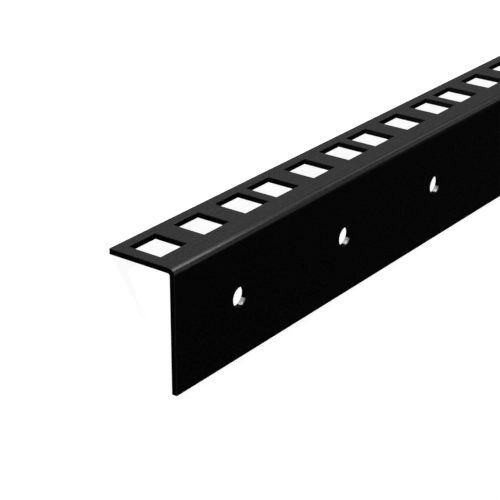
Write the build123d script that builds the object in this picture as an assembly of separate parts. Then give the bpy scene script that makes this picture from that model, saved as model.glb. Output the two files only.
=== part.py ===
from build123d import *

import os
from math import atan2, degrees

# Rack rail: a length of bent steel angle, folded once from a single strip of sheet.
# The narrow front flange has a row of square holes that take cage nuts for rack equipment.
# The wide wall flange has one round screw hole per rack unit and is screwed to a cabinet.
#
# Sizes are in millimetres.  The section is drawn with X along the rail, the front flange's
# outer face towards +Z and the wall flange's outer face towards -Y.  The finished rail is
# then turned to the way it lies on a floor: bend upwards, on its two free edges.

# Section of the folded strip, with both flange widths measured over the outside of the bend
sheet_thickness = 1.5
bend_inner_radius = 0.5
front_flange_width = 19.3
wall_flange_width = 32.2

# Vertical hole pattern of a 19 inch rack
rack_units = 6
holes_per_unit = 3
unit_height = 44.45
hole_pitch = 15.875

# Punched holes, with each row measured from the free edge of its flange
square_hole_width = 9.5
square_row_from_edge = 7.7
screw_hole_diameter = 5.1
screw_row_from_edge = 16.1

# From each sheared end of the strip to the middle of the nearest square hole
end_margin = 8.2

# Worked out from the sizes above
unit_span = (holes_per_unit - 1) * hole_pitch
rail_length = 2 * end_margin + (rack_units - 1) * unit_height + unit_span
square_row_y = front_flange_width - square_row_from_edge
screw_row_z = screw_row_from_edge - wall_flange_width

# The tilt that brings the inner corners of both free edges down to one level
lying_tilt = degrees(
    atan2(wall_flange_width - sheet_thickness, front_flange_width - sheet_thickness)
)


def folded_strip():
    """The plain angle: sheet of even thickness with one bend, cut square at both ends."""
    wall_edge = (0, -wall_flange_width)
    outside_corner = (0, 0)
    front_edge = (front_flange_width, 0)
    with BuildPart() as strip:
        with BuildSketch(Plane.YZ):
            with BuildLine():
                FilletPolyline(
                    wall_edge,
                    outside_corner,
                    front_edge,
                    radius=bend_inner_radius + sheet_thickness,
                )
                offset(amount=sheet_thickness, side=Side.RIGHT)
            make_face()
        extrude(amount=rail_length)
    return strip.part


def square_hole_stations():
    """Distances along the rail of the square holes, three to each rack unit."""
    return [
        end_margin + unit * unit_height + hole * hole_pitch
        for unit in range(rack_units)
        for hole in range(holes_per_unit)
    ]


def screw_hole_stations():
    """Distances along the rail of the screw holes, one in the middle of each rack unit."""
    return [end_margin + unit * unit_height + unit_span / 2 for unit in range(rack_units)]


def punches(face, stations, outline):
    """One punch through the sheet at each station along a flange's outer face."""
    with BuildPart() as row:
        with BuildSketch(face):
            with Locations(*[(station, 0) for station in stations]):
                add(outline)
        extrude(amount=-sheet_thickness)
    return row.part


def lay_down(rail):
    """Turn the rail bend upwards and stand it over the middle of its footprint."""
    turned = Rot(X=-lying_tilt) * rail
    box = turned.bounding_box()
    return Pos(-box.center().X, -box.center().Y, -box.min.Z) * turned


front_row = Plane(origin=(0, square_row_y, 0), x_dir=(1, 0, 0), z_dir=(0, 0, 1))
wall_row = Plane(origin=(0, 0, screw_row_z), x_dir=(1, 0, 0), z_dir=(0, -1, 0))

square_punches = punches(
    front_row, square_hole_stations(), Rectangle(square_hole_width, square_hole_width)
)
screw_punches = punches(wall_row, screw_hole_stations(), Circle(screw_hole_diameter / 2))

rack_rail = lay_down(folded_strip() - square_punches - screw_punches)

os.makedirs("parts", exist_ok=True)
export_step(rack_rail, "parts/rack_rail.step")
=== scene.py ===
from math import atan2, cos, hypot, pi, radians, sin

import bpy
from mathutils import Euler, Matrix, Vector


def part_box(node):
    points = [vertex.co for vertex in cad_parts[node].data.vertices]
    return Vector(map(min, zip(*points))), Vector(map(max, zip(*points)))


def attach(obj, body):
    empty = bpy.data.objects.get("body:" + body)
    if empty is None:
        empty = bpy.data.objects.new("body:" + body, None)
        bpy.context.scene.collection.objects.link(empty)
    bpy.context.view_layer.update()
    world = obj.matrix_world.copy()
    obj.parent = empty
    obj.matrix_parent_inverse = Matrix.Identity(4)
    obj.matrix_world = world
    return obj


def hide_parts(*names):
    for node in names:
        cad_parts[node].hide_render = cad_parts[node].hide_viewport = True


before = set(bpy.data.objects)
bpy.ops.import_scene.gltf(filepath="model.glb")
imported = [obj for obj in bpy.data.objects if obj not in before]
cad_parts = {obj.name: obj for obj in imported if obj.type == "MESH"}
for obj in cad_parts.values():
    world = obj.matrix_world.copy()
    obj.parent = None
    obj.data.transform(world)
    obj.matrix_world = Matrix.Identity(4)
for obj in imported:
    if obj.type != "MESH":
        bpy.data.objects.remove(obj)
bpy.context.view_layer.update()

MM = 0.001

# The rail's section, in metres, with both flange widths over the outside of the bend
SHEET = 1.5 * MM
BEND_INSIDE = 0.5 * MM
FRONT_WIDTH = 19.3 * MM
WALL_WIDTH = 32.2 * MM

# Hole pattern of the 19 inch rack, and the holes' sizes and rows
UNIT = 44.45 * MM
HOLE_PITCH = 15.875 * MM
HOLES_PER_UNIT = 3
SQUARE = 9.5 * MM
SQUARE_ROW = 7.7 * MM
SCREW_HOLE = 5.1 * MM
SCREW_ROW = 16.1 * MM
END_MARGIN = 8.2 * MM

# Powder coat rounds every sheared and punched edge by about its own thickness, and the
# screw holes are deburred on the outside before it
COAT_ROUNDING = 0.1 * MM
DEBURRED_RIM = 0.2 * MM

# How near a point counts as on a face or a rim, how near two points count as one, and how
# squarely a face points along an axis to count as across it
TOUCH = 0.01 * MM
WELD = 0.001 * MM
SQUARELY = 0.9

# How finely the round shapes are divided
BEND_STEPS = 16
HOLE_SIDES = 64
RIM_STEPS = 4
ROUNDING_STEPS = 2

# Edges sharper than the first angle are rounded by the coat, and faces that meet at less
# than the second are shaded as one
SHARP_EDGE = radians(40)
SMOOTH_EDGE = radians(35)

# How wide the grain and the waves of the coat are, how deep the waves are, and how wide the
# scuffs are on the pale steel that paints the glint in the screw holes
DRAWN_GRAIN = 0.6 * MM
COAT_WAVES = 0.9 * MM
COAT_RELIEF = 0.02 * MM
GLINT_STEEL_SCUFFS = 0.5 * MM

# How much of the melted coat's gloss a rolled face shows
SATIN_GLOSS = 0.088

# Each screw hole's wall is pale steel on one side only, a painted highlight where it glints,
# and black coat elsewhere. Its middle is turned this far round the hole from the side of the
# rail's far end, and it reaches this far to each side.
GLINT_PATCH_AT = radians(-51)
GLINT_PATCH_HALF = radians(21)

# The rail's materials, in the order of its slots
SATIN_COAT, DULL_COAT, PAINTED_GLINT_STEEL = range(3)

BEND_OUTSIDE = BEND_INSIDE + SHEET
rail_low, rail_high = (Vector(corner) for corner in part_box("rack_rail"))
rail_length = rail_high.x - rail_low.x
units = round((rail_length - 2 * END_MARGIN - (HOLES_PER_UNIT - 1) * HOLE_PITCH) / UNIT) + 1
screw_stations = [END_MARGIN + HOLE_PITCH + unit * UNIT for unit in range(units)]
square_row_y = FRONT_WIDTH - SQUARE_ROW
screw_row_z = SCREW_ROW - WALL_WIDTH
lying_tilt = atan2(WALL_WIDTH - SHEET, FRONT_WIDTH - SHEET)


def deselect_all():
    """Nothing selected, so that the next operator touches only what it makes."""
    bpy.ops.object.select_all(action="DESELECT")


def select_only(piece):
    """The piece alone selected and active."""
    deselect_all()
    piece.select_set(True)
    bpy.context.view_layer.objects.active = piece


def block(name, low, high):
    """A box between two corners, with its place in its mesh."""
    deselect_all()
    low, high = Vector(low), Vector(high)
    bpy.ops.mesh.primitive_cube_add(size=1, location=(low + high) / 2)
    piece = bpy.context.object
    piece.name = name
    piece.scale = high - low
    bpy.ops.object.transform_apply(location=True, rotation=True, scale=True)
    return piece


def select_faces(piece, wanted):
    """Edit mode on the piece, with only the faces that the test picks selected."""
    select_only(piece)
    bpy.ops.object.mode_set(mode="EDIT")
    bpy.ops.mesh.select_mode(type="FACE")
    bpy.ops.mesh.select_all(action="DESELECT")
    bpy.ops.object.mode_set(mode="OBJECT")
    for face in piece.data.polygons:
        face.select = wanted(face)
    bpy.ops.object.mode_set(mode="EDIT")


def select_edges(piece, wanted):
    """Edit mode on the piece, with the edges selected whose ends and middle pass the test."""
    select_only(piece)
    bpy.ops.object.mode_set(mode="EDIT")
    bpy.ops.mesh.select_mode(type="EDGE")
    bpy.ops.mesh.select_all(action="DESELECT")
    bpy.ops.object.mode_set(mode="OBJECT")
    for edge in piece.data.edges:
        start, end = (piece.data.vertices[index].co for index in edge.vertices)
        edge.select = all(wanted(point) for point in (start, end, (start + end) / 2))
    bpy.ops.object.mode_set(mode="EDIT")


def add_modifier(piece, kind, **settings):
    """A modifier with its settings, applied at once."""
    select_only(piece)
    modifier = piece.modifiers.new(kind.title(), kind)
    for setting, value in settings.items():
        setattr(modifier, setting, value)
    bpy.ops.object.modifier_apply(modifier=modifier.name)


def folded_strip():
    """Front flange, bend and wall flange, drawn square with the outer corner at y = z = 0."""
    strip = block(
        "rack_rail_coated",
        (0, BEND_OUTSIDE, -SHEET),
        (rail_length, FRONT_WIDTH, 0),
    )
    select_faces(strip, lambda face: face.normal.y < -SQUARELY)
    bpy.ops.mesh.spin(
        steps=BEND_STEPS,
        angle=-pi / 2,
        center=(0, BEND_OUTSIDE, -BEND_OUTSIDE),
        axis=(1, 0, 0),
    )
    bpy.ops.mesh.extrude_region_move(
        TRANSFORM_OT_translate={"value": (0, 0, BEND_OUTSIDE - WALL_WIDTH)}
    )
    bpy.ops.mesh.select_all(action="SELECT")
    bpy.ops.mesh.remove_doubles(threshold=WELD)
    bpy.ops.mesh.normals_make_consistent(inside=False)
    bpy.ops.object.mode_set(mode="OBJECT")
    return strip


def punch(rail, tool):
    """Cut the tool's shapes out of the rail and take the tool away."""
    add_modifier(rail, "BOOLEAN", operation="DIFFERENCE", solver="EXACT", object=tool)
    bpy.data.objects.remove(tool)


def repeat_along(tool, count, pitch):
    """Copies of the tool in line along the rail."""
    add_modifier(
        tool,
        "ARRAY",
        count=count,
        use_relative_offset=False,
        use_constant_offset=True,
        constant_offset_displace=(pitch, 0, 0),
    )


def square_punches():
    """Three square punches to a rack unit, repeated for every unit."""
    half = SQUARE / 2
    tool = block(
        "square_punches",
        (END_MARGIN - half, square_row_y - half, -2 * SHEET),
        (END_MARGIN + half, square_row_y + half, SHEET),
    )
    repeat_along(tool, HOLES_PER_UNIT, HOLE_PITCH)
    repeat_along(tool, units, UNIT)
    return tool


def screw_punches():
    """One round punch to a rack unit, level with its middle square hole."""
    deselect_all()
    bpy.ops.mesh.primitive_cylinder_add(
        vertices=HOLE_SIDES,
        radius=SCREW_HOLE / 2,
        depth=4 * SHEET,
        location=(screw_stations[0], 0, screw_row_z),
        rotation=(pi / 2, 0, 0),
    )
    tool = bpy.context.object
    bpy.ops.object.transform_apply(location=True, rotation=True, scale=True)
    repeat_along(tool, units, UNIT)
    return tool


def from_screw_axis(point):
    """How far a point is from the axis of the nearest screw hole."""
    return min(hypot(point.x - station, point.z - screw_row_z) for station in screw_stations)


def deburr_screw_holes(rail):
    """A small rounding on each screw hole's outer rim."""
    rim = SCREW_HOLE / 2 + TOUCH
    select_edges(rail, lambda point: abs(point.y) < TOUCH and from_screw_axis(point) < rim)
    bpy.ops.mesh.bevel(offset=DEBURRED_RIM, segments=RIM_STEPS, affect="EDGES")
    bpy.ops.object.mode_set(mode="OBJECT")


def is_sheared(face):
    """True for a face across the sheet's thickness: both ends, both free edges, hole walls."""
    middle = face.center
    across_front = middle.y > BEND_OUTSIDE and abs(middle.z + SHEET / 2) < TOUCH
    across_wall = middle.z < -BEND_OUTSIDE and abs(middle.y - SHEET / 2) < TOUCH
    return across_front or across_wall or abs(face.normal.x) > SQUARELY


def is_painted_glint_patch(face):
    """True for the side of each screw hole's wall that is painted pale steel as a highlight."""
    glint_side = Vector((cos(GLINT_PATCH_AT), 0, sin(GLINT_PATCH_AT)))
    on_wall = from_screw_axis(face.center) < SCREW_HOLE / 2 + TOUCH
    return on_wall and face.normal.angle(-glint_side) < GLINT_PATCH_HALF


def give_material(rail, slot, wanted):
    """One of the rail's materials on every face that passes the test."""
    select_faces(rail, wanted)
    rail.active_material_index = slot
    bpy.ops.object.material_slot_assign()
    bpy.ops.object.mode_set(mode="OBJECT")


def lay_down(rail):
    """Turn the rail bend upwards, centre it in the CAD model's box and rest it on the floor."""
    select_only(rail)
    rail.rotation_euler = Euler((-lying_tilt, 0, 0))
    bpy.ops.object.transform_apply(location=True, rotation=True, scale=True)
    points = [vertex.co for vertex in rail.data.vertices]
    low, high = (
        Vector(extreme(point[axis] for point in points) for axis in range(3))
        for extreme in (min, max)
    )
    rail.location = (rail_low + rail_high - low - high) / 2
    rail.location.z = rail_low.z - low.z
    bpy.ops.object.transform_apply(location=True, rotation=True, scale=True)


def linear(hex_colour):
    """An sRGB hex colour as the linear values that a shader takes."""
    channels = [int(hex_colour[i : i + 2], 16) / 255 for i in (1, 3, 5)]
    return [c / 12.92 if c <= 0.04045 else ((c + 0.055) / 1.055) ** 2.4 for c in channels] + [1]


def add_node(material, kind, inputs=None, **settings):
    """Add a node with its settings, and give each input a value or a link."""
    tree = material.node_tree
    node = tree.nodes.new(kind)
    for setting, value in settings.items():
        setattr(node, setting, value)
    for socket, value in (inputs or {}).items():
        if isinstance(value, bpy.types.NodeSocket):
            tree.links.new(value, node.inputs[socket])
        else:
            node.inputs[socket].default_value = value
    return node


def new_material(name):
    """A material with no nodes yet."""
    material = bpy.data.materials.new(name)
    material.use_nodes = True
    material.node_tree.nodes.clear()
    return material


def black_powder_coat(name, gloss):
    """Electrostatic powder, baked: a deep black with a fine, even grain and slight waves.

    Over the rolled faces it melts out to a satin gloss, over rough sheared edges it stays dull.
    The real grain is about 0.2 mm across, and is drawn coarser so that it shows.
    """
    material = new_material(name)
    place = add_node(material, "ShaderNodeTexCoord")
    grain = add_node(
        material,
        "ShaderNodeTexNoise",
        {"Vector": place.outputs["Object"], "Scale": 1 / DRAWN_GRAIN, "Detail": 2.0},
    )
    colour = add_node(
        material,
        "ShaderNodeMix",
        {"Factor": grain.outputs["Fac"], 6: linear("#020202"), 7: linear("#353535")},
        data_type="RGBA",
    )
    waves = add_node(
        material,
        "ShaderNodeTexNoise",
        {"Vector": place.outputs["Object"], "Scale": 1 / COAT_WAVES, "Detail": 2.0},
    )
    bump = add_node(
        material,
        "ShaderNodeBump",
        {"Height": waves.outputs["Fac"], "Strength": 0.8, "Distance": COAT_RELIEF},
    )
    skin = add_node(
        material,
        "ShaderNodeBsdfPrincipled",
        {
            "Base Color": colour.outputs[2],
            "Roughness": 0.55,
            "Specular IOR Level": 0.0,
            "Coat Weight": gloss,
            "Coat Roughness": 0.17,
            "Coat IOR": 2.0,
            "Normal": bump.outputs["Normal"],
        },
    )
    add_node(material, "ShaderNodeOutputMaterial", {"Surface": skin.outputs["BSDF"]})
    return material


def painted_glint_steel():
    """Pale grey, scuffed, dull mild steel, painted on the glinting side of each screw hole as a
    highlight.
    """
    material = new_material("steel_with_painted_glint")
    place = add_node(material, "ShaderNodeTexCoord")
    scuffs = add_node(
        material,
        "ShaderNodeTexNoise",
        {"Vector": place.outputs["Object"], "Scale": 1 / GLINT_STEEL_SCUFFS, "Detail": 3.0},
    )
    colour = add_node(
        material,
        "ShaderNodeMix",
        {"Factor": scuffs.outputs["Fac"], 6: linear("#a3a2a0"), 7: linear("#bcbbb8")},
        data_type="RGBA",
    )
    metal = add_node(
        material,
        "ShaderNodeBsdfPrincipled",
        {"Base Color": colour.outputs[2], "Metallic": 1.0, "Roughness": 0.5},
    )
    add_node(material, "ShaderNodeOutputMaterial", {"Surface": metal.outputs["BSDF"]})
    return material


rail = folded_strip()
punch(rail, square_punches())
punch(rail, screw_punches())
rail.data.materials.clear()
rail.data.materials.append(black_powder_coat("satin_black_powder_coat", gloss=SATIN_GLOSS))
rail.data.materials.append(black_powder_coat("dull_black_powder_coat_on_edges", gloss=0.0))
rail.data.materials.append(painted_glint_steel())
give_material(rail, DULL_COAT, is_sheared)
deburr_screw_holes(rail)
# Pale steel on the glinting side of each screw hole's wall: a painted highlight
give_material(rail, PAINTED_GLINT_STEEL, is_painted_glint_patch)
add_modifier(
    rail,
    "BEVEL",
    width=COAT_ROUNDING,
    segments=ROUNDING_STEPS,
    limit_method="ANGLE",
    angle_limit=SHARP_EDGE,
    material=SATIN_COAT,
)
add_modifier(rail, "TRIANGULATE", ngon_method="BEAUTY", min_vertices=5)
lay_down(rail)
select_only(rail)
bpy.ops.object.shade_smooth_by_angle(angle=SMOOTH_EDGE)
add_modifier(rail, "WEIGHTED_NORMAL", keep_sharp=True)

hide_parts("rack_rail")
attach(rail, "root")

# The stage, in metres, with the card's direction in degrees. A white card stands on its
# edge beyond the rail, for the bend to mirror. A white panel hangs overhead, for the wall
# flange to mirror when it is seen from its own side.
FLOOR_WIDTH = 40.0
CARD_AZIMUTH = 36
CARD_DISTANCE = 2.4
CARD_WIDTH = 2.4
CARD_HEIGHT = 0.8
CEILING_PLACE = (-0.6, 0, 2.0)
CEILING_LENGTH = 4.7
CEILING_WIDTH = 4.4


def pale_floor():
    """A plain pale floor that keeps the rail's shadow.

    To the camera and in gloss, its own glow and the lamps' light on it come to white.
    """
    material = new_material("pale_studio_floor")
    seen_by = add_node(material, "ShaderNodeLightPath")
    camera_or_gloss = add_node(
        material,
        "ShaderNodeMath",
        {0: seen_by.outputs["Is Camera Ray"], 1: seen_by.outputs["Is Glossy Ray"]},
        operation="MAXIMUM",
    )
    seen = add_node(
        material,
        "ShaderNodeMath",
        {0: camera_or_gloss.outputs[0], 1: seen_by.outputs["Is Transmission Ray"]},
        operation="MAXIMUM",
    )
    paper = add_node(material, "ShaderNodeBsdfDiffuse", {"Color": linear("#808080")})
    thin_paper = add_node(material, "ShaderNodeBsdfDiffuse", {"Color": linear("#c8c8c8")})
    glow = add_node(
        material, "ShaderNodeEmission", {"Color": linear("#ffffff"), "Strength": 0.94}
    )
    bright = add_node(
        material, "ShaderNodeAddShader", {0: thin_paper.outputs[0], 1: glow.outputs[0]}
    )
    surface = add_node(
        material,
        "ShaderNodeMixShader",
        {0: seen.outputs[0], 1: paper.outputs[0], 2: bright.outputs[0]},
    )
    add_node(material, "ShaderNodeOutputMaterial", {"Surface": surface.outputs[0]})
    return material


def towards(azimuth, elevation):
    """A direction, in degrees round from +X towards +Y and up from the floor."""
    turn, rise = radians(azimuth), radians(elevation)
    return Vector((cos(turn) * cos(rise), sin(turn) * cos(rise), sin(rise)))


def flat_panel(name, material, place, turn, width, height):
    """A flat panel for the stage, with its place in its mesh."""
    deselect_all()
    bpy.ops.mesh.primitive_plane_add(size=1, location=place, rotation=turn)
    panel = bpy.context.object
    panel.name = name
    panel.scale = (width, height, 1)
    bpy.ops.object.transform_apply(location=True, rotation=True, scale=True)
    panel.data.materials.append(material)
    return panel


studio_white = pale_floor()
floor = flat_panel(
    "studio_floor", studio_white, (0, 0, 0), (0, 0, 0), FLOOR_WIDTH, FLOOR_WIDTH
)

card = flat_panel(
    "white_card",
    studio_white,
    towards(CARD_AZIMUTH, 0) * CARD_DISTANCE + Vector((0, 0, CARD_HEIGHT / 2)),
    (pi / 2, 0, radians(CARD_AZIMUTH + 90)),
    CARD_WIDTH,
    CARD_HEIGHT,
)

ceiling = flat_panel(
    "white_ceiling", studio_white, CEILING_PLACE, (pi, 0, 0), CEILING_LENGTH, CEILING_WIDTH
)
ceiling.visible_camera = False

# How far most of the lamps stand from what they are aimed at, in metres
LAMP_DISTANCE = 1.2


def soft_lamp(name, aim, direction, size, power, distance=LAMP_DISTANCE):
    """A rectangular soft lamp that faces its aim and stays out of the camera's sight.

    Sizes and distances are in metres, and the power is in watts.
    """
    lamp = bpy.data.lights.new(name, "AREA")
    lamp.shape = "RECTANGLE"
    lamp.size, lamp.size_y = size
    lamp.energy = power
    holder = bpy.data.objects.new(name, lamp)
    holder.location = aim + direction * distance
    holder.rotation_euler = direction.to_track_quat("Z", "Y").to_euler()
    holder.visible_camera = False
    bpy.context.collection.objects.link(holder)
    return holder


# The photograph's camera, turned with the rail from an upright wall flange to the rail's
# rest. Its place is in metres, its turn in degrees, its lens and sensor in millimetres.
CAMERA_PLACE = Vector((-0.39070, 0.03593, 0.27943))
CAMERA_TURN = Euler([radians(turn) for turn in (19.667, -43.750, -33.648)])
CAMERA_LENS = 118.8
CAMERA_SENSOR = 36

# What the lamps are aimed at
near_end = Vector((rail_low.x, 0, rail_high.z))
rail_middle = Vector((0, 0, rail_high.z / 2))
near_part = Vector((rail_low.x / 2, 0, rail_high.z / 2))

soft_lamp("low_softbox", near_part, towards(90, 8.8), (0.4, 0.09), power=11.2, distance=1.8)
soft_lamp("high_softbox", near_end, towards(90, 26), (0.12, 0.12), power=0.95, distance=0.4)
soft_lamp("card_softbox", near_end, towards(41, 13), (0.5, 0.2), power=0.8)
soft_lamp("side_softbox", rail_middle, towards(29, 23), (0.4, 0.2), power=0.9)
soft_lamp("end_softbox", near_end, towards(-14, 42), (0.5, 0.25), power=0.7)
soft_lamp("far_softbox", rail_middle, towards(8, 35), (0.4, 0.2), power=0.7)

# Where the bend's own axis runs through the near end of the rail, as it lies
bend_axis = Vector(
    (
        rail_low.x,
        rail_high.y
        - (FRONT_WIDTH - BEND_OUTSIDE) * cos(lying_tilt)
        - BEND_OUTSIDE * sin(lying_tilt),
        rail_high.z - BEND_OUTSIDE,
    )
)


def seen_in_bend(turn):
    """Where the camera looks to in the bend's near end, so far round from the front flange."""
    lean = lying_tilt - turn
    facing = Vector((0, sin(lean), cos(lean)))
    sight = (bend_axis + facing * BEND_OUTSIDE - CAMERA_PLACE).normalized()
    return sight.reflect(facing)


# A row of narrow lamps end to end, which the near end of the bend mirrors as one bright line.
# They show in gloss alone, so that the wall flange stays as black as in the photograph.
ROW_START = radians(28)
ROW_STEP = radians(5)
ROW_SLOPE = radians(-45)
ROW_LAMP_SIZE = (0.16, 0.08)
ROW_POWERS = (0.35, 0.7, 1.2, 1.0, 0.5)
for number, power in enumerate(ROW_POWERS):
    direction = seen_in_bend(ROW_START + number * ROW_STEP)
    lamp = soft_lamp(f"row_lamp_{number + 1}", near_end, direction, ROW_LAMP_SIZE, power)
    lamp.rotation_euler.rotate_axis("Z", ROW_SLOPE)
    lamp.visible_diffuse = False

DIM_WORLD = 0.02
world = bpy.data.worlds.new("dim_studio")
world.use_nodes = True
background = world.node_tree.nodes["Background"]
background.inputs["Color"].default_value = linear("#ffffff")
background.inputs["Strength"].default_value = DIM_WORLD
bpy.context.scene.world = world

camera_data = bpy.data.cameras.new("photograph_camera")
camera_data.lens = CAMERA_LENS
camera_data.sensor_width = CAMERA_SENSOR
camera = bpy.data.objects.new("photograph_camera", camera_data)
camera.location = CAMERA_PLACE
camera.rotation_euler = CAMERA_TURN
bpy.context.collection.objects.link(camera)
bpy.context.scene.camera = camera

bpy.context.scene.view_settings.view_transform = "Standard"
